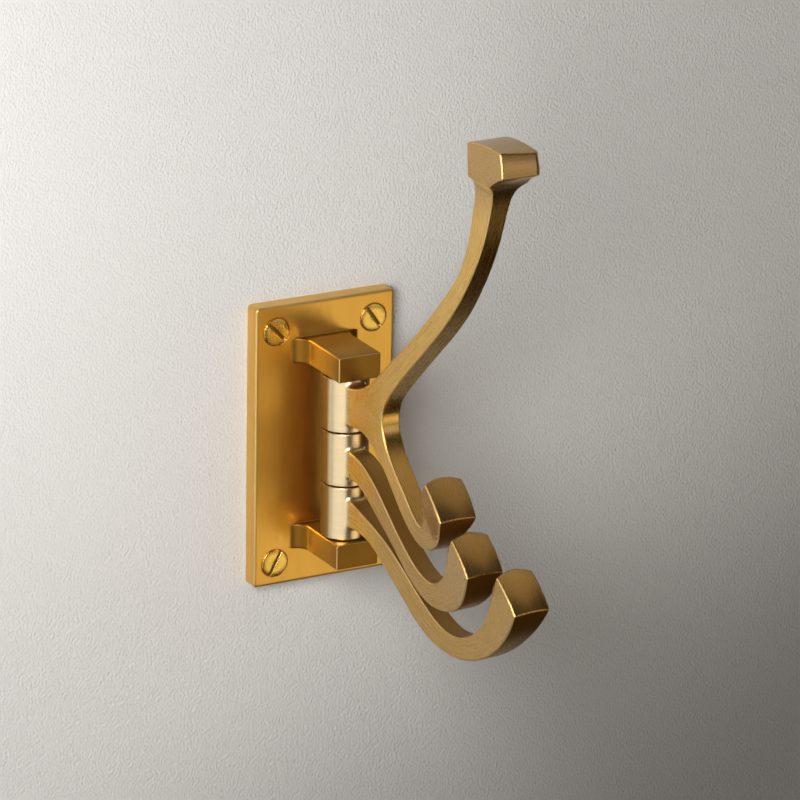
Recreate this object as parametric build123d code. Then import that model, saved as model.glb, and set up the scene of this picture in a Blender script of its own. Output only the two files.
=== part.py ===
from build123d import *
import math
import os

# Swivel towel hook in cast brass, in millimetres. The wall is the plane Y = 0, the front
# is towards -Y, +X is to the right seen from the front and +Z is up.
# The origin is the centre of the plate's back face.

# Wall plate
plate_width = 46.6
plate_height = 89.0
plate_thickness = 5.4
plate_corner_radius = 1.3
plate_edge_radius = 0.9

# Pivot: three knuckles turn on one pin, held between two lugs cast with the plate
axis_out = 19.1
knuckle_count = 3
knuckle_radius = 7.15
knuckle_height = 16.8
knuckle_gap = 0.25
knuckle_edge = 0.35
pin_radius = 3.2
pin_clearance = 0.06
pin_depth_in_top_lug = 5.0
pin_chamfer = 0.5

# Lugs
lug_width = 14.0
lug_height = 7.9
lug_overhang = 1.75
lug_flare_radius = 4.8
lug_edge_radius = 0.5

# Wood screws, slotted and countersunk
screw_margin_x = 7.0
screw_margin_z = 7.6
screw_row_shift = -0.5
screw_head_radius = 4.25
screw_mouth_gap = 0.25
screw_head_proud = 0.35
screw_head_edge = 0.2
screw_cone_angle = 41.0
screw_shank_radius = 2.1
screw_shank_clearance = 0.3
screw_thread_radius = 1.9
screw_thread_length = 24.0
screw_point_length = 5.0
screw_slot_width = 1.15
screw_slot_depth = 1.1
screw_slot_leans = {"top_left": 38.0, "top_right": 55.0, "bottom_left": -62.0, "bottom_right": 20.0}

# Arms
arm_width = 6.3
arm_edge_radius = 0.6
arm_root_radius = 1.5
tip_width = 12.8
tip_crown = 0.7
tip_face_angle = -42.0
tip_arch_radius = 13.0
tip_arch_fade_angle = 11.0
flare_end_slope = 0.12

# Coat prong, from the middle of its knuckle to the back corner at the foot of its head
prong_reach = 83.5
prong_height = 94.3
prong_belly_width = 6.8
prong_belly_share = 0.445
neck_width = 6.0
neck_length = 10.3

# Square head on the prong
head_width = 12.9
head_top_crown = 0.8
head_side_crown = 0.35
head_worn_edge_radius = 2.0

# Outlines are (reach from the pivot axis, height above the middle of the arm's own knuckle).
# A hook's top edge runs from its root to the bottom of the throat, and the inner edge climbs
# to the tip. The outer edge falls to the bottom of the bend, and the under edge runs back.
upper_hook = {
    "swivel": 0.0,
    "top": [(32.2, -5.6), (41.6, -14.2), (49.6, -20.6)],
    "throat": (53.2, -22.0),
    "inner": [(54.9, -18.2), (55.8, -12.2)],
    "rise": (0.5, 1.0),
    "tip": (60.3, -4.5),
    "tip_length": 14.4,
    "arch_length": 10.0,
    "fall": (-0.35, -1.0),
    "outer": [(66.8, -21.2)],
    "bend": (55.6, -28.3),
    "under": [(47.5, -26.1), (34.7, -15.9), (25.0, -8.4), (16.0, -4.9), (8.4, -5.4)],
    "flare_start": 21.6,
}
middle_hook = {
    "swivel": 2.0,
    "top": [(6.0, 3.2), (11.6, 2.8), (20.7, -0.8), (31.3, -8.7), (45.0, -18.4)],
    "throat": (55.2, -21.7),
    "inner": [(64.0, -17.4), (68.3, -10.9)],
    "rise": (0.45, 1.0),
    "tip": (72.1, -1.1),
    "tip_length": 14.2,
    "arch_length": 12.0,
    "fall": (-0.35, -1.0),
    "outer": [(77.4, -20.4)],
    "bend": (58.0, -28.8),
    "under": [(46.5, -25.8), (33.0, -17.1), (20.9, -9.5), (12.6, -5.5), (6.0, -5.3)],
    "flare_start": 20.0,
}
lower_hook = {
    "swivel": 5.0,
    "top": [(6.0, 4.7), (13.7, 2.8), (26.0, -1.4), (39.5, -9.0), (51.0, -15.8)],
    "throat": (62.8, -19.2),
    "inner": [(74.8, -15.1), (83.4, -5.9)],
    "rise": (0.35, 1.0),
    "tip": (89.7, 9.7),
    "tip_length": 14.6,
    "arch_length": 12.0,
    "fall": (-0.45, -1.0),
    "outer": [(93.3, -10.8)],
    "bend": (62.4, -26.0),
    "under": [(49.8, -23.9), (35.4, -15.6), (23.2, -7.8), (13.6, -4.1), (6.0, -4.0)],
    "flare_start": 24.0,
}
hook_fork = (28.6, 2.6)

# The coat prong's back edge from the root up and its front edge from the head down, as shares of
# its reach and height, and the head's other corners from the back corner of its foot
prong_back = [
    (0.096, 0.070),
    (0.210, 0.105),
    (0.346, 0.199),
    (0.548, 0.353),
    (0.768, 0.543),
    (0.907, 0.707),
    (0.961, 0.863),
]
prong_front = [
    (1.130, 0.980),
    (1.095, 0.916),
    (1.052, 0.808),
    (0.964, 0.659),
    (0.825, 0.494),
    (0.605, 0.304),
    (0.430, 0.157),
]
head_back_top = (-0.9, 9.8)
head_front_top = (18.3, 11.7)
head_front_foot = (19.9, 4.3)

# Places that follow from the sizes
knuckle_pitch = knuckle_height + knuckle_gap
stack_height = knuckle_count * knuckle_pitch + knuckle_gap
knuckle_middles = [(1 - i) * knuckle_pitch for i in range(knuckle_count)]
lug_inner = stack_height / 2
lug_outer = lug_inner + lug_height
lug_front = axis_out + knuckle_radius + lug_overhang
arm_plane = Plane(origin=(0, -axis_out, 0), x_dir=(0, -1, 0), z_dir=(-1, 0, 0))


def screw_places():
    """Centres of the four screws on the wall plane, by name."""
    x, z = plate_width / 2 - screw_margin_x, plate_height / 2 - screw_margin_z
    return {
        "top_left": (-x, screw_row_shift + z),
        "top_right": (x, screw_row_shift + z),
        "bottom_left": (-x, screw_row_shift - z),
        "bottom_right": (x, screw_row_shift - z),
    }


def cone_height(radius):
    """Height above the wall at which the countersink has this radius."""
    mouth = screw_head_radius + screw_mouth_gap
    return plate_thickness - (mouth - radius) / math.tan(math.radians(screw_cone_angle))


def turned(profile, place):
    """Solid turned from a (radius, height) profile about a line through the place, outwards from the wall."""
    x, z = place
    axis_plane = Plane(origin=(x, 0, z), x_dir=(1, 0, 0), z_dir=(0, 0, -1))
    face = axis_plane * make_face(Polyline(*profile, close=True))
    return revolve(face, Axis((x, 0, z), (0, 1, 0)))


def plate():
    """Bevelled plate, standing on the wall."""
    outline = Plane.XZ * RectangleRounded(plate_width, plate_height, plate_corner_radius)
    solid = extrude(outline, plate_thickness)
    front = solid.faces().sort_by(Axis.Y)[0]
    return fillet(front.edges(), plate_edge_radius)


def lug(inner, outer):
    """Lug between two heights, with sides that flare into the plate."""
    half, flare = lug_width / 2, lug_flare_radius
    wide, face_y = half + flare, -plate_thickness
    sides = [
        Line((-half, -lug_front), (half, -lug_front)),
        Line((half, -lug_front), (half, face_y - flare)),
        RadiusArc((half, face_y - flare), (wide, face_y), flare),
        Polyline((wide, face_y), (wide, face_y / 2), (-wide, face_y / 2), (-wide, face_y)),
        RadiusArc((-wide, face_y), (-half, face_y - flare), flare),
        Line((-half, face_y - flare), (-half, -lug_front)),
    ]
    low, high = min(inner, outer), max(inner, outer)
    solid = extrude(Plane.XY.offset(low) * make_face(sides), high - low)
    nose = solid.edges().filter_by(lambda edge: edge.center().Y < face_y - flare - 0.1)
    return fillet(nose, lug_edge_radius)


def backplate():
    """Plate and lugs, one casting, with the screw holes and the pin's bore."""
    body = plate() + lug(lug_inner, lug_outer) + lug(-lug_inner, -lug_outer)
    bore = screw_shank_radius + screw_shank_clearance
    mouth = screw_head_radius + screw_mouth_gap
    above = plate_thickness + plate_edge_radius
    cone = [(bore, cone_height(bore)), (mouth, plate_thickness)]
    hole = [(0, 0), (bore, 0), *cone, (mouth, above), (0, above)]
    for place in screw_places().values():
        body -= turned(hole, place)
    return body - pin_solid(0.0)


def pin_solid(chamfer_size):
    """Pin from the underside of the bottom lug into the blind hole of the top lug."""
    length = lug_outer + lug_inner + pin_depth_in_top_lug
    pin = Pos(0, -axis_out, length / 2 - lug_outer) * Cylinder(pin_radius, length)
    if chamfer_size > 0:
        pin = chamfer(pin.edges().filter_by(GeomType.CIRCLE), chamfer_size)
    return pin


def wood_screw(place, slot_lean):
    """Slotted countersunk wood screw: head, plain shank in the plate, threaded core and point."""
    head, shank, core = screw_head_radius, screw_shank_radius, screw_thread_radius
    rim = plate_thickness + screw_head_proud
    end = -screw_thread_length
    profile = [
        (0, end),
        (0.3, end),
        (core, end + screw_point_length),
        (core, 0),
        (shank, 0),
        (shank, cone_height(shank)),
        (head, cone_height(head)),
        (head, rim - screw_head_edge),
        (head - screw_head_edge, rim),
        (0, rim),
    ]
    screw = turned(profile, place)
    x, z = place
    slot = Box(2 * head + 1, 2 * screw_slot_depth, screw_slot_width)
    return screw - Pos(x, -rim, z) * Rot(0, slot_lean, 0) * slot


def knuckle(middle):
    """Bored barrel section round the pin."""
    barrel = Cylinder(knuckle_radius, knuckle_height)
    barrel = fillet(barrel.edges().filter_by(GeomType.CIRCLE), knuckle_edge)
    return Pos(0, -axis_out, middle) * barrel


def raised(points, middle):
    """Outline points lifted from the knuckle's middle to their height on the part."""
    return [(r, z + middle) for r, z in points]


def curve(points, start, end):
    """Smooth curve through points, leaving along one direction and arriving along another."""
    return Spline(*points, tangents=[start, end], tangent_scalars=(1, 1))


def tip_direction():
    """Unit vector out of a hook's end face, as (reach, height)."""
    angle = math.radians(tip_face_angle + 90)
    return math.cos(angle), math.sin(angle)


def hook_tip_edges(hook, middle):
    """Outline from the bottom of the throat over the end face to the bottom of the bend."""
    throat, bend, top_corner = raised([hook["throat"], hook["bend"], hook["tip"]], middle)
    out_r, out_z = tip_direction()
    low_corner = (top_corner[0] + hook["tip_length"] * out_z, top_corner[1] - hook["tip_length"] * out_r)
    crest = [(r + tip_crown * out_r, z + tip_crown * out_z) for r, z in (top_corner, low_corner)]
    return [
        curve([throat, *raised(hook["inner"], middle), top_corner], (1, 0), hook["rise"]),
        Polyline(top_corner, *crest, low_corner),
        curve([low_corner, *raised(hook["outer"], middle), bend], hook["fall"], (-1, 0)),
    ]


def in_arm_plane(reach, height):
    """Point in space at a reach and a height in the arm's middle plane."""
    return Vector(0, -axis_out - reach, height)


def dome_cutter(hook, middle):
    """What stands outside the domed end face of a tip."""
    out_r, out_z = tip_direction()
    half = hook["tip_length"] / 2
    centre = in_arm_plane(hook["tip"][0] + half * out_z, hook["tip"][1] + middle - half * out_r)
    outwards = Vector(0, -out_r, out_z)
    radius = (half**2 + tip_crown**2) / (2 * tip_crown)
    ball = Pos(*(centre + outwards * (tip_crown - radius))) * Sphere(radius)
    face = Plane(origin=centre, x_dir=(1, 0, 0), z_dir=outwards)
    return face * Box(2 * tip_width, 2 * tip_width, 4 * tip_crown) - ball


def arch_cutter(hook, middle):
    """What stands outside the arched throat side of a tip, fading out below it."""
    rise = Vector(0, -hook["rise"][0], hook["rise"][1]).normalized()
    rise = rise.rotate(Axis.X, tip_arch_fade_angle)
    into = rise.cross(Vector(-1, 0, 0))
    top = in_arm_plane(hook["tip"][0], hook["tip"][1] + middle)
    length = hook["arch_length"]
    along = top - rise * (length / 2 - tip_crown)
    rod = Plane(origin=along + into * tip_arch_radius, x_dir=(1, 0, 0), z_dir=rise)
    shell = Plane(origin=along, x_dir=(1, 0, 0), z_dir=rise) * Box(2 * tip_width, tip_arch_radius / 2, length)
    return shell - rod * Cylinder(tip_arch_radius, length)


def under_edge(hook, middle):
    """Under edge from the bottom of the bend to the pivot axis."""
    bend, *points = raised([hook["bend"]] + hook["under"], middle)
    return curve([bend, *points, (0, points[-1][1])], (-1, 0), (-1, 0))


def hook_outline(hook, middle):
    """Side view of an arm that has one hook."""
    first = raised(hook["top"], middle)
    root_top = (0, first[0][1])
    throat = raised([hook["throat"]], middle)[0]
    return [
        curve([root_top, *first, throat], (1, 0), (1, 0)),
        *hook_tip_edges(hook, middle),
        under_edge(hook, middle),
        Line((0, middle + hook["under"][-1][1]), root_top),
    ]


def on_prong(shares):
    """Outline points of the prong from shares of its reach and height."""
    return [(r * prong_reach, z * prong_height) for r, z in shares]


def head_corners(middle):
    """Corners of the head's outline: back foot, back top, front top and front foot."""
    offsets = [(0, 0), head_back_top, head_front_top, head_front_foot]
    return raised([(prong_reach + r, prong_height + z) for r, z in offsets], middle)


def upper_outline(hook, middle):
    """Side view of the upper arm: up the prong's back, over its head, down to the fork and along the hook."""
    back, front = raised(on_prong(prong_back), middle), raised(on_prong(prong_front), middle)
    back_foot, back_top, front_top, front_foot = head_corners(middle)
    fork, throat = raised([hook_fork, hook["throat"]], middle)
    top_middle = ((back_top[0] + front_top[0]) / 2, (back_top[1] + front_top[1]) / 2 + head_top_crown)
    front_middle = ((front_top[0] + front_foot[0]) / 2 + head_side_crown, (front_top[1] + front_foot[1]) / 2)
    root_top, root_low = (0, back[0][1]), (0, middle + hook["under"][-1][1])
    return [
        curve([root_top, *back, back_foot], (1, 0), (0.2, 1)),
        Line(back_foot, back_top),
        ThreePointArc(back_top, top_middle, front_top),
        ThreePointArc(front_top, front_middle, front_foot),
        curve([front_foot, *front, fork], (-1, -0.35), (0, -1)),
        curve([fork, *raised(hook["top"], middle), throat], (0, -1), (1, 0)),
        *hook_tip_edges(hook, middle),
        under_edge(hook, middle),
        Line(root_low, root_top),
    ]


def slab(plane, edges, half_depth):
    """Solid with an outline in the plane, reaching as far on either side of it."""
    return extrude(plane.offset(-half_depth) * make_face(edges), 2 * half_depth)


def side_view(edges):
    """Outline in the arm's own plane, as a slab wider than any arm."""
    return slab(arm_plane, edges, tip_width)


def flare_envelope(hook, middle):
    """Widths of a hook seen along its end face: even up to the bend, then flaring to the tip."""
    start = hook["flare_start"]
    half, full = arm_width / 2, tip_width / 2
    out_r, out_z = tip_direction()
    end = hook["tip"][0] * out_r + hook["tip"][1] * out_z + tip_crown
    outwards = Vector(0, -out_r, out_z)
    plane = Plane(
        origin=(0, -axis_out, middle), x_dir=tuple(outwards), z_dir=tuple(outwards.cross(Vector(1, 0, 0)))
    )
    far = end + 2 * tip_width
    flare = curve([(start, half), (end, full)], (1, 0), (1, flare_end_slope))
    upper = [Line((-far, half), (start, half)), flare, Line((end, full), (far, full))]
    lower = [mirror(edge, Plane.XZ) for edge in upper]
    ends = [Line((far, full), (far, -full)), Line((-far, -half), (-far, half))]
    return slab(plane, upper + lower + ends, 3 * far)


def neck_envelope(middle):
    """Widths of the coat prong seen from the front: a slender neck that flares into the head."""
    half, neck, head = arm_width / 2, neck_width / 2, head_width / 2
    foot = middle + prong_height
    waist, start = middle + prong_belly_share * prong_height, foot - neck_length
    low, top = middle + hook_fork[1], foot + 2 * head_front_top[1]
    points = [(half, low), (prong_belly_width / 2, waist), (neck, start), (head, foot)]
    flank = curve(points, (0, 1), (0.9, 0.45))
    right = [flank, Line((head, foot), (head, top))]
    left = [mirror(edge, Plane.YZ) for edge in right]
    ends = [Line((head, top), (-head, top)), Line((-half, low), (half, low))]
    plane = Plane(origin=(0, -axis_out, 0), x_dir=(1, 0, 0), z_dir=(0, -1, 0))
    return slab(plane, right + left + ends, 2 * prong_reach)


def below(height):
    """Everything below a height."""
    size = 8 * prong_reach
    return Pos(0, 0, height - size / 2) * Box(size, size, size)


def away_from_root(edge):
    """True for an edge that isn't wholly inside the knuckle."""
    return edge.bounding_box().min.Y < -axis_out - knuckle_radius


def round_the_root(edge):
    """True for an edge where the arm leaves its barrel."""
    point = edge @ 0.5
    off_barrel = abs(math.hypot(point.X, point.Y + axis_out) - knuckle_radius)
    in_front = edge.bounding_box().max.Y < -axis_out - arm_width / 2
    return off_barrel < knuckle_gap / 2 and in_front and edge.bounding_box().size.Z > knuckle_gap / 10


def finished_arm(solid, middle, swivel):
    """Arm with rounded edges, blended into its bored knuckle and turned to where it rests."""
    arm = fillet(solid.edges().filter_by(away_from_root), arm_edge_radius) + knuckle(middle)
    arm = fillet(arm.edges().filter_by(round_the_root), arm_root_radius)
    arm -= Pos(0, -axis_out, middle) * Cylinder(pin_radius + pin_clearance, 2 * knuckle_height)
    return arm.rotate(Axis((0, -axis_out, 0), (0, 0, 1)), swivel)


def single_hook_arm(hook, middle):
    """Arm with one hook."""
    solid = side_view(hook_outline(hook, middle)) & flare_envelope(hook, middle)
    solid -= dome_cutter(hook, middle)
    solid -= arch_cutter(hook, middle)
    return finished_arm(solid, middle, hook["swivel"])


def worn_head_edge(edge):
    """True for the upright edge at the head's front right, which wear has rounded."""
    point = edge @ 0.5
    front = -axis_out - prong_reach - head_front_top[0] / 2
    upright = edge.bounding_box().size.Z > head_front_top[1] / 2
    return point.X > head_width / 2 - head_side_crown and point.Y < front and upright


def upper_arm(middle):
    """Arm with the coat prong above and a hook below, one casting."""
    fork_height = middle + hook_fork[1]
    widths = neck_envelope(middle) + (flare_envelope(upper_hook, middle) & below(fork_height))
    solid = side_view(upper_outline(upper_hook, middle)) & widths
    solid -= dome_cutter(upper_hook, middle)
    solid -= arch_cutter(upper_hook, middle)
    worn = fillet(solid.edges().filter_by(worn_head_edge), head_worn_edge_radius)
    return finished_arm(worn, middle, upper_hook["swivel"])


def parts():
    """Every piece by node name."""
    pieces = {
        "backplate": backplate(),
        "pivot_pin": pin_solid(pin_chamfer),
        "upper_arm": upper_arm(knuckle_middles[0]),
        "middle_hook": single_hook_arm(middle_hook, knuckle_middles[1]),
        "lower_hook": single_hook_arm(lower_hook, knuckle_middles[2]),
    }
    for name, place in screw_places().items():
        pieces["wood_screw_" + name] = wood_screw(place, screw_slot_leans[name])
    return pieces


os.makedirs("parts", exist_ok=True)
for name, solid in parts().items():
    export_step(solid, f"parts/{name}.step")
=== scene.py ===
import math
import bpy
import numpy as np
from mathutils import Matrix, Vector


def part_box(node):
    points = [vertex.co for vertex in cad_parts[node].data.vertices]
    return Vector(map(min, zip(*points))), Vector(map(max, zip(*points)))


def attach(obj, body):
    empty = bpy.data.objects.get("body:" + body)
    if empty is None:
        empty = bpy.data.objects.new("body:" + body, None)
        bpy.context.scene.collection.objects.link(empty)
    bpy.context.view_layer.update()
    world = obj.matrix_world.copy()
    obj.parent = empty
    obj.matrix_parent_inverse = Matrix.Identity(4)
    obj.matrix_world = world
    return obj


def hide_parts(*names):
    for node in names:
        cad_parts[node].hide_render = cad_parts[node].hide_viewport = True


# Swivel towel hook in satin brass on a pale wall. The wall is the plane Y = 0, in metres.
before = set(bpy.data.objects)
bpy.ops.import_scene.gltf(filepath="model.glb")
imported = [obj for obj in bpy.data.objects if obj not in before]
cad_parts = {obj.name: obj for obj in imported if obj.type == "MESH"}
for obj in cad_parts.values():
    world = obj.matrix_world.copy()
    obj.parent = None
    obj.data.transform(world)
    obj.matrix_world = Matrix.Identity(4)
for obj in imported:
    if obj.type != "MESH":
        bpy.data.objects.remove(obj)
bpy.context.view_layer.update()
print("frame loaded:", len(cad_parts), "nodes")


# Camera
cameraView = {
    "azimuth": -28.43,
    "elevation": 19.54,
    "roll": 0.96,
    "distance": 1.82302,
    "target": (0.02881, 0.0, 0.00627),
    "lens": 270,
    "sensor": 36,
    "clip": (0.05, 50),
}


def makeCamera(view):
    # Three axes of a camera that looks at the target, turned a little about its own line of sight
    azimuth, elevation, roll = (math.radians(view[k]) for k in ("azimuth", "elevation", "roll"))
    flat = math.cos(elevation)
    back = Vector((math.sin(azimuth) * flat, -math.cos(azimuth) * flat, math.sin(elevation)))
    level = Vector((math.cos(azimuth), math.sin(azimuth), 0))
    above = back.cross(level)
    right = level * math.cos(roll) + above * math.sin(roll)
    up = above * math.cos(roll) - level * math.sin(roll)
    camera = bpy.data.objects.new("camera", bpy.data.cameras.new("camera"))
    camera.data.sensor_width = view["sensor"]
    camera.data.lens = view["lens"]
    camera.data.clip_start, camera.data.clip_end = view["clip"]
    place = Matrix((right, up, back)).transposed().to_4x4()
    place.translation = Vector(view["target"]) + back * view["distance"]
    camera.matrix_world = place
    bpy.context.scene.collection.objects.link(camera)
    bpy.context.scene.camera = camera


makeCamera(cameraView)
print("camera placed")


# Small helpers
def addNode(tree, kind, **sockets):
    # Plain names set the node's own properties, names that match an input set its value
    node = tree.nodes.new(kind)
    for name, value in sockets.items():
        if hasattr(node, name):
            setattr(node, name, value)
        else:
            node.inputs[name].default_value = value
    return node


def makeObject(name, points, faces):
    mesh = bpy.data.meshes.new(name)
    mesh.from_pydata(points.tolist(), [], faces)
    mesh.validate()
    thing = bpy.data.objects.new(name, mesh)
    bpy.context.scene.collection.objects.link(thing)
    return thing


def gridFaces(rows, columns):
    # Quads between neighbouring points of a grid that closes on itself along its rows
    row, column = np.meshgrid(np.arange(rows - 1), np.arange(columns), indexing="ij")
    following = (column + 1) % columns
    here, above = row * columns, (row + 1) * columns
    corners = [here + column, here + following, above + following, above + column]
    return np.stack(corners, axis=-1).reshape(-1, 4)


def smoothStep(low, high, values):
    # From 0 at low to 1 at high: 3 share^2 - 2 share^3
    share = np.clip((values - low) / (high - low), 0, 1)
    return share * share * (3 - 2 * share)


# Shared shader groups
grainSize = {"streaks": (3600, 3600, 80), "patches": (150, 150, 60), "patchLift": 12.0}
edgeTurn = (0.85, 0.25)


def newGroup(name, inputs, outputs):
    group = bpy.data.node_groups.new(name, "ShaderNodeTree")
    for label, kind, value in inputs:
        socket = group.interface.new_socket(label, in_out="INPUT", socket_type=kind)
        socket.default_value = value
    for label, kind in outputs:
        group.interface.new_socket(label, in_out="OUTPUT", socket_type=kind)
    return group, group.nodes.new("NodeGroupInput"), group.nodes.new("NodeGroupOutput")


def connect(tree, *pairs):
    for source, target in pairs:
        tree.links.new(source, target)


def brushedGrain():
    # Streaks of hand finishing: noise squeezed across the grain and drawn out along it.
    # Height is the streaks plus the broad soft patches times their lift
    group, given, result = newGroup(
        "brushedGrain",
        [("Vector", "NodeSocketVector", (0, 0, 0))],
        [("Streaks", "NodeSocketFloat"), ("Patches", "NodeSocketFloat"), ("Height", "NodeSocketFloat")],
    )
    coarseMap = addNode(group, "ShaderNodeMapping", Scale=grainSize["streaks"])
    coarse = addNode(group, "ShaderNodeTexNoise", Scale=1.0, Detail=3.0, Roughness=0.6)
    wideMap = addNode(group, "ShaderNodeMapping", Scale=grainSize["patches"])
    wide = addNode(group, "ShaderNodeTexNoise", Scale=1.0, Detail=2.0, Roughness=0.5)
    lift = addNode(group, "ShaderNodeMath", operation="MULTIPLY")
    lift.inputs[1].default_value = grainSize["patchLift"]
    height = addNode(group, "ShaderNodeMath", operation="ADD")
    connect(
        group,
        (given.outputs["Vector"], coarseMap.inputs["Vector"]),
        (coarseMap.outputs["Vector"], coarse.inputs["Vector"]),
        (given.outputs["Vector"], wideMap.inputs["Vector"]),
        (wideMap.outputs["Vector"], wide.inputs["Vector"]),
        (wide.outputs["Fac"], lift.inputs[0]),
        (lift.outputs[0], height.inputs[0]),
        (coarse.outputs["Fac"], height.inputs[1]),
        (coarse.outputs["Fac"], result.inputs["Streaks"]),
        (wide.outputs["Fac"], result.inputs["Patches"]),
        (height.outputs[0], result.inputs["Height"]),
    )
    return group


def wornEdges():
    # An edge is where the surface turns from one side to the next: the size of 2 (normal . across)^2 - 1
    # is 1 on a side and less half way round, and the edge fades in between the two values of edgeTurn
    group, given, result = newGroup(
        "wornEdges",
        [
            ("Normal", "NodeSocketVector", (0, 0, 1)),
            ("Across", "NodeSocketVector", (1, 0, 0)),
            ("Exposed", "NodeSocketFloat", 1.0),
        ],
        [("Edge", "NodeSocketFloat")],
    )
    facing = addNode(group, "ShaderNodeVectorMath", operation="DOT_PRODUCT")
    square = addNode(group, "ShaderNodeMath", operation="POWER")
    square.inputs[1].default_value = 2.0
    centred = addNode(group, "ShaderNodeMath", operation="MULTIPLY_ADD")
    centred.inputs[1].default_value, centred.inputs[2].default_value = 2.0, -1.0
    size = addNode(group, "ShaderNodeMath", operation="ABSOLUTE")
    turned = addNode(group, "ShaderNodeMapRange", interpolation_type="SMOOTHSTEP")
    turned.inputs["From Min"].default_value, turned.inputs["From Max"].default_value = edgeTurn
    shown = addNode(group, "ShaderNodeMath", operation="MULTIPLY")
    connect(
        group,
        (given.outputs["Normal"], facing.inputs[0]),
        (given.outputs["Across"], facing.inputs[1]),
        (facing.outputs["Value"], square.inputs[0]),
        (square.outputs[0], centred.inputs[0]),
        (centred.outputs[0], size.inputs[0]),
        (size.outputs[0], turned.inputs["Value"]),
        (turned.outputs["Result"], shown.inputs[0]),
        (given.outputs["Exposed"], shown.inputs[1]),
        (shown.outputs[0], result.inputs["Edge"]),
    )
    return group


grainGroup = brushedGrain()
edgeGroup = wornEdges()


# Brass
brass = {
    "light": (0.80, 0.535, 0.18, 1),
    "deep": (0.64, 0.395, 0.09, 1),
    "scratched": (0.46, 0.27, 0.065, 1),
    "handled": (0.50, 0.31, 0.115, 1),
    # Pale colour of turned brass; on the barrels' front left it is a painted highlight
    "turned": (0.88, 0.72, 0.45, 1),
    "rubbed": (0.68, 0.46, 0.19, 1),
    # Dark colour of tarnish and of painted shade
    "tarnishAndShadeColour": (0.22, 0.10, 0.012, 1),
    "roughness": (0.25, 0.33),
    "turnedRoughness": 0.28,
    "rubbedRoughness": 0.58,
    "dullRoughness": 0.5,
    "softness": 0.0005,
    "bump": 0.42,
    "bumpDepth": 0.000014,
    "glossFrom": (0.35, 0.65),
    "scratchFrom": (0.62, 0.36),
    "scratchShare": 0.1,
}


def mixColour(tree, amount, before, after):
    mix = addNode(tree, "ShaderNodeMix", data_type="RGBA")
    for socket, value in ((mix.inputs[0], amount), (mix.inputs[6], before), (mix.inputs[7], after)):
        if isinstance(value, tuple):
            socket.default_value = value
        else:
            tree.links.new(value, socket)
    return mix.outputs[2]


def makeBrass(name, finish, across):
    # Tone follows the patches, gloss and scratches the streaks. Turned barrels and worn edges are paler, the
    # barrels' pale front left a painted highlight, handled parts darker, and recesses tarnished and places in
    # painted shade darkened, both matt
    material = bpy.data.materials.new(name)
    material.use_nodes = True
    tree = material.node_tree
    shader = tree.nodes["Principled BSDF"]
    shader.inputs["Metallic"].default_value = 1.0
    where = addNode(tree, "ShaderNodeTexCoord")
    path = addNode(tree, "ShaderNodeAttribute", attribute_name="grain")
    shown = addNode(tree, "ShaderNodeAttribute", attribute_name="exposed")
    tarnishAndShadeField = addNode(tree, "ShaderNodeAttribute", attribute_name="tarnishAndShade")
    # The turned share: turned brass, and on the barrels' front left a painted highlight
    turnedAndHighlight = addNode(tree, "ShaderNodeAttribute", attribute_name="turned")
    touched = addNode(tree, "ShaderNodeAttribute", attribute_name="handled")
    grain = addNode(tree, "ShaderNodeGroup", node_tree=grainGroup)
    edge = addNode(tree, "ShaderNodeGroup", node_tree=edgeGroup)
    edge.inputs["Across"].default_value = across
    # Tarnish and painted shade: darker and matt
    tarnishAndShadeMask = addNode(tree, "ShaderNodeMapRange", interpolation_type="SMOOTHSTEP")
    gloss = addNode(tree, "ShaderNodeMapRange")
    gloss.inputs["From Min"].default_value, gloss.inputs["From Max"].default_value = finish["glossFrom"]
    gloss.inputs["To Min"].default_value, gloss.inputs["To Max"].default_value = finish["roughness"]
    scratch = addNode(tree, "ShaderNodeMapRange")
    scratch.inputs["From Min"].default_value, scratch.inputs["From Max"].default_value = finish["scratchFrom"]
    scratch.inputs["To Max"].default_value = finish["scratchShare"]
    lathe = addNode(tree, "ShaderNodeMix", data_type="FLOAT")
    lathe.inputs[3].default_value = finish["turnedRoughness"]
    smooth = addNode(tree, "ShaderNodeMix", data_type="FLOAT")
    smooth.inputs[3].default_value = finish["rubbedRoughness"]
    matt = addNode(tree, "ShaderNodeMix", data_type="FLOAT")
    matt.inputs[3].default_value = finish["dullRoughness"]
    rounded = addNode(tree, "ShaderNodeBevel", samples=4, Radius=finish["softness"])
    bump = addNode(tree, "ShaderNodeBump", Strength=finish["bump"], Distance=finish["bumpDepth"])
    connect(
        tree,
        (path.outputs["Vector"], grain.inputs["Vector"]),
        (where.outputs["Normal"], edge.inputs["Normal"]),
        (shown.outputs["Fac"], edge.inputs["Exposed"]),
        (tarnishAndShadeField.outputs["Fac"], tarnishAndShadeMask.inputs["Value"]),
        (grain.outputs["Streaks"], gloss.inputs["Value"]),
        (edge.outputs["Edge"], smooth.inputs[0]),
        (grain.outputs["Streaks"], scratch.inputs["Value"]),
        (turnedAndHighlight.outputs["Fac"], lathe.inputs[0]),
        (gloss.outputs["Result"], lathe.inputs[2]),
        (lathe.outputs[0], smooth.inputs[2]),
        (tarnishAndShadeMask.outputs["Result"], matt.inputs[0]),
        (smooth.outputs[0], matt.inputs[2]),
        (matt.outputs[0], shader.inputs["Roughness"]),
        (rounded.outputs["Normal"], bump.inputs["Normal"]),
        (grain.outputs["Height"], bump.inputs["Height"]),
        (bump.outputs["Normal"], shader.inputs["Normal"]),
    )
    tone = mixColour(tree, grain.outputs["Patches"], finish["deep"], finish["light"])
    darkened = mixColour(tree, touched.outputs["Fac"], tone, finish["handled"])
    turnedAndHighlighted = mixColour(tree, turnedAndHighlight.outputs["Fac"], darkened, finish["turned"])
    lined = mixColour(tree, scratch.outputs["Result"], turnedAndHighlighted, finish["scratched"])
    agedAndShaded = mixColour(tree, tarnishAndShadeMask.outputs["Result"], lined, finish["tarnishAndShadeColour"])
    worn = mixColour(tree, edge.outputs["Edge"], agedAndShaded, finish["rubbed"])
    tree.links.new(worn, shader.inputs["Base Color"])
    return material


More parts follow.
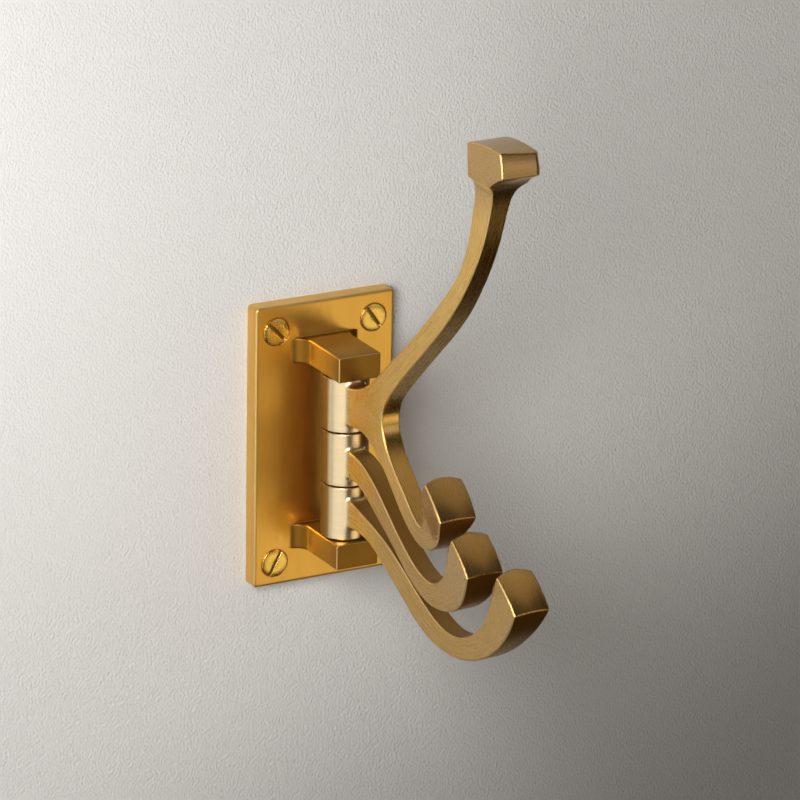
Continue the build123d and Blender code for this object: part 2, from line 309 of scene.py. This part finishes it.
# Castings, copied from the frame with a path for the grain to follow
endFaceTilt = math.radians(48)
endFaceOut = np.array([0, -math.cos(endFaceTilt), math.sin(endFaceTilt)])
endFaceDown = np.array([0, -math.sin(endFaceTilt), -math.cos(endFaceTilt)])
pivot = {"out": 0.0191, "radius": 0.00715, "halfHeight": 0.0084}
castings = {
    "upper_arm": {
        "middle": 0.01705,
        "swivel": 0.0,
        "headFoot": 0.0943,
        "handled": (0.9, 0.036),
        "lowEdge": (0.0710, -0.0141),
        "shaded": 0.0,
        "head": {
            "half": 0.00645,
            "back": 0.1026,
            "front": 0.1218,
            "foot": 0.1160,
            "top": 0.1205,
            "drop": 0.0014,
        },
        "paths": [
            [
                (0, 0), (0.012, 0.0005), (0.024, -0.0035), (0.036, -0.0135),
                (0.047, -0.0225), (0.054, -0.025), (0.061, -0.021), (0.064, -0.010),
            ],
            [
                (0, 0.001), (0.012, 0.0045), (0.030, 0.0175), (0.050, 0.034),
                (0.070, 0.052), (0.084, 0.072), (0.090, 0.094), (0.092, 0.106),
            ],
        ],
    },
    "middle_hook": {
        "middle": 0.0,
        "swivel": 2.0,
        "headFoot": 1.0,
        "handled": (0.8, 0.014),
        "lowEdge": (0.0826, -0.0106),
        "shaded": 0.62,
        "paths": [
            [
                (0, -0.001), (0.012, -0.0015), (0.026, -0.0085), (0.040, -0.019),
                (0.055, -0.0253), (0.068, -0.020), (0.076, -0.006),
            ],
        ],
    },
    "lower_hook": {
        "middle": -0.01705,
        "swivel": 5.0,
        "headFoot": 1.0,
        "handled": (0.6, 0.014),
        "lowEdge": (0.1006, -0.0001),
        "shaded": 0.66,
        "paths": [
            [
                (0, 0.0003), (0.014, -0.0007), (0.030, -0.0075), (0.046, -0.0175),
                (0.062, -0.0226), (0.078, -0.0195), (0.088, -0.008), (0.094, 0.006),
            ],
        ],
    },
}


# Where the castings are tarnished, handled and carry painted shade: shares, angles in degrees and lengths in
# metres
wearAndShade = {
    "outerSide": (0, -0.77, -0.64),
    "tip": 0.95,
    "tipRange": (0.004, 0.018),
    "endFaceSize": 0.017,
    "upwards": (0.15, 0.6),
    "rootLength": 0.003,
    "wallSideShade": 0.72,
    "wallAngles": (66, 80),
    "rightSideShade": 0.8,
    "rightAngles": (0, 14),
    "headHandled": (0.078, 0.096),
    "handledLength": 0.016,
    "hookTop": 0.01,
    "rimAcross": (0.0205, 0.0225),
    "rimUp": (0.0415, 0.0437),
    "lugs": (0.0105, 0.013),
    "flareAcross": 0.0071,
    "flareOut": (0.00545, 0.0101),
    "flare": (0.9, 0.36),
    "flareRange": (0.0068, 0.0100),
    "nose": 0.74,
    "noseRange": (0.0270, 0.0276),
}
joinSteps = 1e7  # steps in a metre: corners in the same step are joined


def wornHead(points, normals, head):
    # The head's top falls towards its front right corner by drop x share across x share forward,
    # and its normals lean with it
    across = (points[..., 0] + head["half"]) / (2 * head["half"])
    forward = (-points[..., 1] - head["back"]) / (head["front"] - head["back"])
    top = smoothStep(head["foot"], head["top"], points[..., 2])
    across, forward = np.clip(across, 0, 1), np.clip(forward, 0, 1)
    faceUp = (normals[..., 2] > 0.5) * top
    normals[..., 0] += faceUp * head["drop"] * forward / (2 * head["half"])
    normals[..., 1] -= faceUp * head["drop"] * across / (head["front"] - head["back"])
    normals /= np.linalg.norm(normals, axis=-1, keepdims=True)
    points[..., 2] -= head["drop"] * across * forward * top
    return points, normals


def mergedCopy(node, name, head=None):
    # The node's own surface with its corners joined, and the normals that it came with
    mesh = node.data
    mesh.calc_loop_triangles()
    points = np.empty(len(mesh.vertices) * 3)
    mesh.vertices.foreach_get("co", points)
    points = points.reshape(-1, 3)
    corners = np.empty(len(mesh.loop_triangles) * 3, dtype=np.int32)
    mesh.loop_triangles.foreach_get("vertices", corners)
    loops = np.empty(len(mesh.loop_triangles) * 3, dtype=np.int32)
    mesh.loop_triangles.foreach_get("loops", loops)
    normals = np.empty(len(mesh.loops) * 3)
    mesh.corner_normals.foreach_get("vector", normals)
    normals = normals.reshape(-1, 3)[loops].reshape(-1, 3, 3)
    steps = np.round(points * joinSteps).astype(np.int64)
    first, joined = np.unique(steps, axis=0, return_index=True, return_inverse=True)[1:]
    triangles = joined.reshape(-1)[corners].reshape(-1, 3)
    a, b, c = triangles.T
    sound = (a != b) & (b != c) & (c != a)
    places = points[first]
    if head:
        normals = wornHead(points[corners].reshape(-1, 3, 3), normals, head)[1]
        places = wornHead(places, np.zeros_like(places) + 1.0, head)[0]
    copy = bpy.data.meshes.new(name)
    copy.from_pydata(places.tolist(), [], triangles[sound].tolist())
    copy.normals_split_custom_set(normals[sound].reshape(-1, 3).tolist())
    thing = bpy.data.objects.new(name, copy)
    bpy.context.scene.collection.objects.link(thing)
    return thing, places


def addField(thing, name, values):
    # One value for each point, or one for each corner of a face
    kind = "FLOAT_VECTOR" if values.ndim == 2 else "FLOAT"
    domain = "POINT" if len(values) == len(thing.data.vertices) else "CORNER"
    field = thing.data.attributes.new(name, kind, domain)
    field.data.foreach_set("vector" if values.ndim == 2 else "value", values.ravel())


def dress(thing, fields, material):
    for label, values in fields.items():
        addField(thing, label, values)
    thing.data.materials.append(material)


def cornersAndNormals(thing):
    # The vertex of each face corner, and the normal of each face
    vertices = np.empty(len(thing.data.loops), dtype=np.int32)
    thing.data.loops.foreach_get("vertex_index", vertices)
    normals = np.empty(len(thing.data.polygons) * 3)
    thing.data.polygons.foreach_get("normal", normals)
    return vertices, normals.reshape(-1, 3)


def armPlace(points, arm):
    # Across, reach and height in the arm's own frame, turned by its swivel about the pivot
    turn = math.radians(arm["swivel"])
    x, y = points[:, 0], points[:, 1] + pivot["out"]
    across = x * math.cos(turn) + y * math.sin(turn)
    reach = x * math.sin(turn) - y * math.cos(turn)
    return across, reach, points[:, 2] - arm["middle"]


def endFaceGrain(thing, points, grain):
    # On a hook's end face the grain runs down the face instead of along the arm
    vertices, normals = cornersAndNormals(thing)
    facing = np.repeat(normals @ endFaceOut > 0.97, 3)
    down = points[vertices] @ endFaceDown
    onFace = np.stack([grain[vertices, 0], np.zeros(len(down)), down], axis=1)
    return np.where(facing[:, None], onFace, grain[vertices])


def hookShade(thing, points, tarnishAndShade, arm):
    # Painted shade on the outer side below the end face, less with each millimetre from the low edge,
    # and painted shadow on the upper side of a hook that lies under another
    reach, height = armPlace(points, arm)[1:]
    away = np.hypot(reach - arm["lowEdge"][0], height - arm["lowEdge"][1])
    vertices, normals = cornersAndNormals(thing)
    below = np.repeat(normals @ np.array(wearAndShade["outerSide"]) > 0.7, 3)
    endFace = np.repeat(normals @ endFaceOut > 0.9, 3) & (away[vertices] < wearAndShade["endFaceSize"])
    upper = np.repeat(arm["shaded"] * smoothStep(*wearAndShade["upwards"], normals[:, 2]), 3)
    upper = np.where(endFace, 0.0, upper)
    shade = wearAndShade["tip"] * (1 - smoothStep(*wearAndShade["tipRange"], away))
    reachShare = smoothStep(pivot["radius"], pivot["radius"] + wearAndShade["rootLength"], reach)
    return np.maximum(tarnishAndShade[vertices], np.where(below, shade[vertices], upper * reachShare[vertices]))


def alongPath(path, reach, height):
    # Nearest point of a smooth path: its length so far, the signed distance to it, and the plain distance
    knots = np.array(path)
    steps = np.linspace(0, len(knots) - 1, 60 * len(knots))
    whole = np.minimum(steps.astype(int), len(knots) - 2)
    part = (steps - whole)[:, None]
    slope = np.gradient(knots, axis=0)
    a, b, s, e = knots[whole], knots[whole + 1], slope[whole], slope[whole + 1]
    line = a * (1 + 2 * part) * (1 - part) ** 2 + b * part**2 * (3 - 2 * part)
    line = line + s * part * (1 - part) ** 2 - e * part**2 * (1 - part)
    pace = np.gradient(line, axis=0)
    length = np.concatenate([[0], np.cumsum(np.linalg.norm(np.diff(line, axis=0), axis=1))])
    gap = np.stack([reach, height], axis=1)[:, None, :] - line[None, :, :]
    apart = np.linalg.norm(gap, axis=2)
    near = np.argmin(apart, axis=1)
    nearest = gap[np.arange(len(near)), near]
    forward = pace[near] / np.linalg.norm(pace[near], axis=1, keepdims=True)
    side = nearest[:, 1] * forward[:, 0] - nearest[:, 0] * forward[:, 1]
    ahead = np.sum(nearest * forward, axis=1)
    return length[near] + ahead, side, apart.min(axis=1)


def armFields(points, arm):
    # Grain runs along the nearest path, round the barrel, and from side to side on the head.
    # The barrel has a painted highlight on its front left, painted shade towards the wall and to the right,
    # and is dull on its ends
    across, reach, height = armPlace(points, arm)
    found = [alongPath(path, reach, height) for path in arm["paths"]]
    best = np.argmin([f[2] for f in found], axis=0)
    along = np.choose(best, [f[0] for f in found])
    offset = np.choose(best, [f[1] for f in found])
    grain = np.stack([across, offset, along], axis=1)
    distance, angle = np.hypot(across, reach), np.arctan2(across, reach)
    onBarrel = (distance < pivot["radius"] + 0.0001)[:, None]
    grain = np.where(onBarrel, np.stack([height, distance, angle * pivot["radius"]], axis=1), grain)
    onHead = (height > arm["headFoot"] - 0.0002)[:, None]
    grain = np.where(onHead, np.stack([height, reach, across], axis=1), grain)
    exposed = smoothStep(pivot["radius"], pivot["radius"] + 0.0015, distance)
    ends = smoothStep(pivot["halfHeight"] - 0.0004, pivot["halfHeight"], np.abs(height))
    # Painted shade on the barrel towards the wall and to its right
    wallSideShade = wearAndShade["wallSideShade"] * smoothStep(*wearAndShade["wallAngles"], np.degrees(np.abs(angle)))
    rightSideShade = wearAndShade["rightSideShade"] * smoothStep(*wearAndShade["rightAngles"], np.degrees(angle))
    darkened = np.maximum(wallSideShade, rightSideShade)
    tarnishAndShade = np.where(onBarrel[:, 0], np.maximum(ends, darkened), 0.0)
    # Pale turned brass round the barrel, kept only on its front left away from the painted shade: a painted
    # highlight
    turned = 1 - smoothStep(pivot["radius"] - 0.0002, pivot["radius"] + 0.0016, distance)
    turned = turned * (1 - darkened)
    share, start = arm["handled"]
    touched = share * smoothStep(start, start + wearAndShade["handledLength"], reach) * (height < wearAndShade["hookTop"])
    handled = smoothStep(*wearAndShade["headHandled"], height) + touched
    return {"grain": grain, "exposed": exposed, "tarnishAndShade": tarnishAndShade, "turned": turned, "handled": handled}


def plateFields(points):
    # Grain runs up the plate. Its rim and the lugs' edges are exposed, and the flares and the lugs' noses
    # carry painted shade, darker and matt
    across, out, up = np.abs(points[:, 0]), -points[:, 1], np.abs(points[:, 2])
    rim = np.maximum(smoothStep(*wearAndShade["rimAcross"], across), smoothStep(*wearAndShade["rimUp"], up))
    lugs = smoothStep(*wearAndShade["lugs"], out)
    # Painted shade in the flares and on the lugs' noses
    onFlare = (across > wearAndShade["flareAcross"]) & (out > wearAndShade["flareOut"][0]) & (out < wearAndShade["flareOut"][1])
    flare = wearAndShade["flare"][0] - wearAndShade["flare"][1] * smoothStep(*wearAndShade["flareRange"], out)
    nose = wearAndShade["nose"] * smoothStep(*wearAndShade["noseRange"], out)
    tarnishAndShade = np.maximum(np.where(onFlare, flare, 0.0), nose)
    return {"grain": points, "exposed": np.maximum(rim, lugs), "tarnishAndShade": tarnishAndShade}


def pinFields(points):
    # A turned pin: the grain runs round it
    x, y, z = points[:, 0], points[:, 1] + pivot["out"], points[:, 2]
    distance = np.hypot(x, y)
    grain = np.stack([z, distance, np.arctan2(x, -y) * distance.max()], axis=1)
    even = np.ones(len(z))
    return {"grain": grain, "exposed": 0 * even, "tarnishAndShade": 0.3 * even, "turned": 0.5 * even}


armBrass = makeBrass("armBrass", brass, (1, 0, 0))
plateFinish = brass | {
    "light": (0.83, 0.52, 0.135, 1),
    "deep": (0.72, 0.43, 0.08, 1),
    "roughness": (0.29, 0.37),
}
plateBrass = makeBrass("plateBrass", plateFinish, (0, 1, 0))
for name, arm in castings.items():
    thing, points = mergedCopy(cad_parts[name], name + "_finish", arm.get("head"))
    fields = armFields(points, arm)
    fields["grain"] = endFaceGrain(thing, points, fields["grain"])
    fields["tarnishAndShade"] = hookShade(thing, points, fields["tarnishAndShade"], arm)
    dress(thing, fields, armBrass)
    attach(thing, name)
    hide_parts(name)
plate, points = mergedCopy(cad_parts["backplate"], "backplate_finish")
dress(plate, plateFields(points), plateBrass)
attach(plate, "backplate")
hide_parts("backplate")
pin, points = mergedCopy(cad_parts["pivot_pin"], "pivot_pin_finish")
dress(pin, pinFields(points), armBrass)
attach(pin, "backplate")
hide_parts("pivot_pin")
print("castings finished")


# Wood screws
screws = {
    "radius": 0.00425,
    "rim": 0.00575,
    "rimEdge": 0.0002,
    "plate": 0.0054,
    "mouthGap": 0.00025,
    "coneAngle": 41.0,
    "shank": 0.0021,
    "crest": 0.0019,
    "root": 0.0014,
    "pitch": 0.0024,
    "length": 0.024,
    "point": 0.005,
    "slotWidth": 0.00082,
    "slotDepth": 0.0011,
    "leans": {"top_left": 47.0, "top_right": 55.0, "bottom_left": -62.0, "bottom_right": 20.0},
    "columns": 72,
    "threadRows": 110,
    "threadTop": -0.0008,
    "neck": -0.0004,
    "easeWidth": 0.00007,
    "easeAngle": 50,
    "sharpAngle": 34,
    "exposedFrom": (0.0050, 0.0055),
    "slotShade": {"below": 0.0009, "share": 0.7},
}
screwFinish = brass | {
    "light": (0.90, 0.66, 0.19, 1),
    "deep": (0.80, 0.55, 0.13, 1),
    "roughness": (0.20, 0.34),
}
screwBrass = makeBrass("screwBrass", screwFinish, (0, 1, 0))


def screwSurface(values, x, z):
    # Rows from the point to the head; on the thread the radius rises and falls with the helix's phase
    cone = math.tan(math.radians(values["coneAngle"]))
    mouth = values["radius"] + values["mouthGap"]
    coneAt = lambda radius: values["plate"] - (mouth - radius) / cone
    threadHeights = np.linspace(-values["length"], values["threadTop"], values["threadRows"])
    taper = np.clip((threadHeights + values["length"]) / values["point"], 0.06, 1)
    rim, edge = values["rim"], values["rimEdge"]
    bodyHeights = [values["neck"], coneAt(values["shank"]), coneAt(values["radius"]), rim - edge]
    bodyRadii = [values["shank"], values["shank"], values["radius"], values["radius"]]
    capHeights = [rim - edge * 0.3, rim, rim]
    capRadii = [values["radius"] - edge * 0.3, values["radius"] - edge, values["radius"] * 0.5]
    heights = np.concatenate([threadHeights, bodyHeights, capHeights])
    angle = np.linspace(0, 2 * math.pi, values["columns"], endpoint=False)
    phase = threadHeights[:, None] / values["pitch"] - angle[None, :] / (2 * math.pi)
    ridge = (0.5 + 0.5 * np.cos(2 * math.pi * phase)) ** 2
    thread = (values["root"] + (values["crest"] - values["root"]) * ridge) * taper[:, None]
    plain = np.repeat(np.array(bodyRadii + capRadii)[:, None], len(angle), axis=1)
    radius = np.concatenate([thread, plain])
    out = -np.repeat(heights[:, None], len(angle), axis=1)
    rows = np.stack([x + radius * np.cos(angle), out, z + radius * np.sin(angle)], axis=2)
    points = np.concatenate([rows.reshape(-1, 3), [(x, -heights[0], z), (x, -heights[-1], z)]])
    count, last = len(angle), rows.shape[0] * len(angle)
    quads = gridFaces(rows.shape[0], count)
    ring = np.arange(count)
    first = np.stack([np.full(count, last), (ring + 1) % count, ring], axis=1)
    final = last - count + np.stack([ring, (ring + 1) % count], axis=1)
    final = np.column_stack([final, np.full(count, last + 1)])
    faces = quads.tolist() + first.tolist() + final.tolist()
    return points, faces


def slotCutter(values, x, z, lean):
    # A box along the slot, as deep as the slot below the head's rim
    turn = math.radians(lean)
    along = np.array([math.cos(turn), 0, -math.sin(turn)])
    aside = np.array([math.sin(turn), 0, math.cos(turn)])
    deep = np.array([0, -values["slotDepth"], 0])
    signs = np.array([(i, j, k) for i in (-1, 1) for j in (-1, 1) for k in (-1, 1)])
    middle = np.array([x, -values["rim"], z])
    reach = along * (values["radius"] + 0.0005), aside * values["slotWidth"] / 2, deep
    points = middle + sum(signs[:, [i]] * reach[i] for i in range(3))
    faces = [(0, 1, 3, 2), (4, 6, 7, 5), (0, 4, 5, 1), (2, 3, 7, 6), (0, 2, 6, 4), (1, 5, 7, 3)]
    return points, faces


def makeScrew(values, corner):
    node = "wood_screw_" + corner
    low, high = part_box(node)
    x, z = (low[0] + high[0]) / 2, (low[2] + high[2]) / 2
    screw = makeObject(node + "_threaded", *screwSurface(values, x, z))
    cutter = makeObject("slotCutter", *slotCutter(values, x, z, values["leans"][corner]))
    cut = screw.modifiers.new("slot", "BOOLEAN")
    cut.object, cut.operation, cut.solver = cutter, "DIFFERENCE", "EXACT"
    ease = screw.modifiers.new("ease", "BEVEL")
    ease.width, ease.segments = values["easeWidth"], 2
    ease.limit_method, ease.angle_limit = "ANGLE", math.radians(values["easeAngle"])
    bpy.context.view_layer.update()
    shaped = bpy.data.meshes.new_from_object(screw.evaluated_get(bpy.context.evaluated_depsgraph_get()))
    screw.modifiers.clear()
    screw.data = shaped
    bpy.data.objects.remove(cutter)
    shaped.polygons.foreach_set("use_smooth", np.ones(len(shaped.polygons), dtype=bool))
    shaped.set_sharp_from_angle(angle=math.radians(values["sharpAngle"]))
    points = np.empty(len(shaped.vertices) * 3)
    shaped.vertices.foreach_get("co", points)
    points = points.reshape(-1, 3)
    # Painted shade inside the slot
    inSlot = -points[:, 1] < values["rim"] - values["slotShade"]["below"]
    fields = {
        "grain": points[:, [0, 2, 1]] * (1, 1, 8),
        "exposed": smoothStep(*values["exposedFrom"], -points[:, 1]),
        "tarnishAndShade": np.where(inSlot, values["slotShade"]["share"], 0.0),
    }
    screw.data.materials.clear()
    dress(screw, fields, screwBrass)
    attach(screw, "backplate")
    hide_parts(node)


for corner in screws["leans"]:
    makeScrew(screws, corner)
print("screws made")


# Wall and floor
stage = {
    "wallColour": (0.655, 0.655, 0.652, 1),
    "wallShade": (0.27, 0.263, 0.26, 1),
    "floorColour": (0.74, 0.73, 0.71, 1),
    "floorReflected": (0.11, 0.05, 0.016, 1),
    "floorGlow": 0.62,
    "touching": 0.0003,
    "halfWidth": 2.4,
    "floorHeight": -1.2,
    "wallGap": 0.00005,
    "paintSize": (1300, 1300, 950),
    "paintTurn": (0, 0.35, 0),
    "paintRelief": 0.00057,
    "dimTowards": (0.55, 0, -0.83),
    "dimRange": (0.03, 0.22),
}


def makeStageMaterial(name, colour, shade=None, reflected=None):
    # Rolled paint seen from the front only: its back lets light and camera through,
    # and so does its front where the plate lies on it
    material = bpy.data.materials.new(name)
    material.use_nodes = True
    tree = material.node_tree
    link = tree.links.new
    shader = tree.nodes["Principled BSDF"]
    shader.inputs["Base Color"].default_value = colour
    shader.inputs["Roughness"].default_value = 0.9
    shader.inputs["Specular IOR Level"].default_value = 0.2
    if shade:
        # Orange peel of a rolled wall, and painted shade that darkens the wall's colour towards the lower
        # right
        where = addNode(tree, "ShaderNodeTexCoord")
        stretch = addNode(tree, "ShaderNodeMapping", Scale=stage["paintSize"])
        stretch.inputs["Rotation"].default_value = stage["paintTurn"]
        paint = addNode(tree, "ShaderNodeTexNoise", Scale=1.0, Detail=3.0, Roughness=0.55)
        bump = addNode(tree, "ShaderNodeBump", Strength=1.0, Distance=stage["paintRelief"])
        corner = addNode(tree, "ShaderNodeVectorMath", operation="DOT_PRODUCT")
        corner.inputs[1].default_value = stage["dimTowards"]
        dim = addNode(tree, "ShaderNodeMapRange", interpolation_type="SMOOTHSTEP")
        dim.inputs["From Min"].default_value, dim.inputs["From Max"].default_value = stage["dimRange"]
        connect(
            tree,
            (where.outputs["Object"], stretch.inputs["Vector"]),
            (stretch.outputs["Vector"], paint.inputs["Vector"]),
            (paint.outputs["Fac"], bump.inputs["Height"]),
            (bump.outputs["Normal"], shader.inputs["Normal"]),
            (where.outputs["Object"], corner.inputs[0]),
            (corner.outputs["Value"], dim.inputs["Value"]),
        )
        link(mixColour(tree, dim.outputs["Result"], colour, shade), shader.inputs["Base Color"])
    ray = addNode(tree, "ShaderNodeLightPath")
    if reflected:
        # The brass sees the dim warm floor of a room, the camera a pale one
        seen = mixColour(tree, ray.outputs["Is Camera Ray"], reflected, colour)
        link(seen, shader.inputs["Base Color"])
        glow = addNode(tree, "ShaderNodeMath", operation="MULTIPLY")
        glow.inputs[1].default_value = stage["floorGlow"]
        shader.inputs["Emission Color"].default_value = colour
        link(ray.outputs["Is Camera Ray"], glow.inputs[0])
        link(glow.outputs[0], shader.inputs["Emission Strength"])
    side = addNode(tree, "ShaderNodeNewGeometry")
    clear = addNode(tree, "ShaderNodeBsdfTransparent")
    choose = addNode(tree, "ShaderNodeMixShader")
    close = addNode(tree, "ShaderNodeMath", operation="LESS_THAN")
    close.inputs[1].default_value = stage["touching"]
    passing = addNode(tree, "ShaderNodeMath", operation="MAXIMUM")
    link(ray.outputs["Ray Length"], close.inputs[0])
    link(side.outputs["Backfacing"], passing.inputs[0])
    link(close.outputs[0], passing.inputs[1])
    link(passing.outputs[0], choose.inputs[0])
    link(shader.outputs[0], choose.inputs[1])
    link(clear.outputs[0], choose.inputs[2])
    link(choose.outputs[0], tree.nodes["Material Output"].inputs["Surface"])
    return material


def makeStage(values):
    half, low = values["halfWidth"], values["floorHeight"]
    wallY = values["wallGap"]
    near = wallY - 2 * half
    wallPoints = [(-half, wallY, low), (half, wallY, low), (half, wallY, -low), (-half, wallY, -low)]
    wall = makeObject("wall", np.array(wallPoints), [(0, 1, 2, 3)])
    floorPoints = [(-half, near, low), (half, near, low), (half, wallY, low), (-half, wallY, low)]
    floor = makeObject("floor", np.array(floorPoints), [(0, 1, 2, 3)])
    wallPaint = makeStageMaterial("wallPaint", values["wallColour"], values["wallShade"])
    floorPaint = makeStageMaterial("floorPaint", values["floorColour"], reflected=values["floorReflected"])
    wall.data.materials.append(wallPaint)
    floor.data.materials.append(floorPaint)


makeStage(stage)
print("wall and floor made")


# Light
lamps = {
    "key": {
        "direction": (-0.30, -0.34, 0.17), "distance": 0.46,
        "size": (0.2, 0.2), "power": 1.86, "colour": (1, 0.985, 0.965),
    },
    "window": {
        "direction": (-0.80, -0.57, -0.18), "distance": 0.8,
        "size": (0.98, 0.8), "power": 2.45, "colour": (1, 0.985, 0.965),
    },
    "roomLow": {
        "direction": (0.45, -0.83, -0.36), "distance": 1.0,
        "size": (0.7, 0.45), "power": 1.15, "colour": (1, 0.82, 0.54),
    },
    "roomHigh": {
        "direction": (0.46, -0.87, 0.16), "distance": 1.0,
        "size": (0.6, 0.35), "power": 0.55, "colour": (1, 0.93, 0.95),
    },
    "behind": {
        "direction": (0.1, 1.0, 0.3), "distance": 1.0,
        "size": (1.4, 1.2), "power": 4.5, "colour": (1, 0.985, 0.965),
    },
    "ceiling": {
        "direction": (0.449, -0.245, 0.859), "distance": 1.0,
        "size": (0.6, 0.6), "power": 0.45, "colour": (1, 0.82, 0.62),
    },
}
roomLight = {"light": (0.012, 0.0075, 0.0045, 1), "seen": (0.46, 0.455, 0.44, 1)}


def makeLamp(name, values, target):
    lamp = bpy.data.lights.new(name, "AREA")
    lamp.shape = "RECTANGLE"
    lamp.size, lamp.size_y = values["size"]
    lamp.energy = values["power"]
    lamp.color = values["colour"]
    holder = bpy.data.objects.new(name, lamp)
    towards = Vector(values["direction"]).normalized()
    holder.location = target + towards * values["distance"]
    holder.rotation_mode = "QUATERNION"
    holder.rotation_quaternion = (-towards).to_track_quat("-Z", "Y")
    bpy.context.scene.collection.objects.link(holder)


def makeLight():
    centre = Vector(cameraView["target"])
    for name, values in lamps.items():
        makeLamp(name, values, centre)
    world = bpy.data.worlds.new("room")
    world.use_nodes = True
    # The camera sees a pale backdrop, and so does brass that looks behind the wall.
    # In front of the wall the brass sees a dim warm room
    tree = world.node_tree
    ray = addNode(tree, "ShaderNodeLightPath")
    where = addNode(tree, "ShaderNodeTexCoord")
    direction = addNode(tree, "ShaderNodeSeparateXYZ")
    behind = addNode(tree, "ShaderNodeMath", operation="GREATER_THAN")
    behind.inputs[1].default_value = 0.0
    mirrored = addNode(tree, "ShaderNodeMath", operation="MULTIPLY")
    pale = addNode(tree, "ShaderNodeMath", operation="MAXIMUM")
    connect(
        tree,
        (where.outputs["Generated"], direction.inputs[0]),
        (direction.outputs["Y"], behind.inputs[0]),
        (behind.outputs[0], mirrored.inputs[0]),
        (ray.outputs["Is Glossy Ray"], mirrored.inputs[1]),
        (mirrored.outputs[0], pale.inputs[0]),
        (ray.outputs["Is Camera Ray"], pale.inputs[1]),
    )
    tone = mixColour(tree, pale.outputs[0], roomLight["light"], roomLight["seen"])
    tree.links.new(tone, tree.nodes["Background"].inputs["Color"])
    tree.nodes["Background"].inputs["Strength"].default_value = 1.0
    bpy.context.scene.world = world


makeLight()
bpy.context.scene.view_settings.view_transform = "Standard"
print("lamps placed")
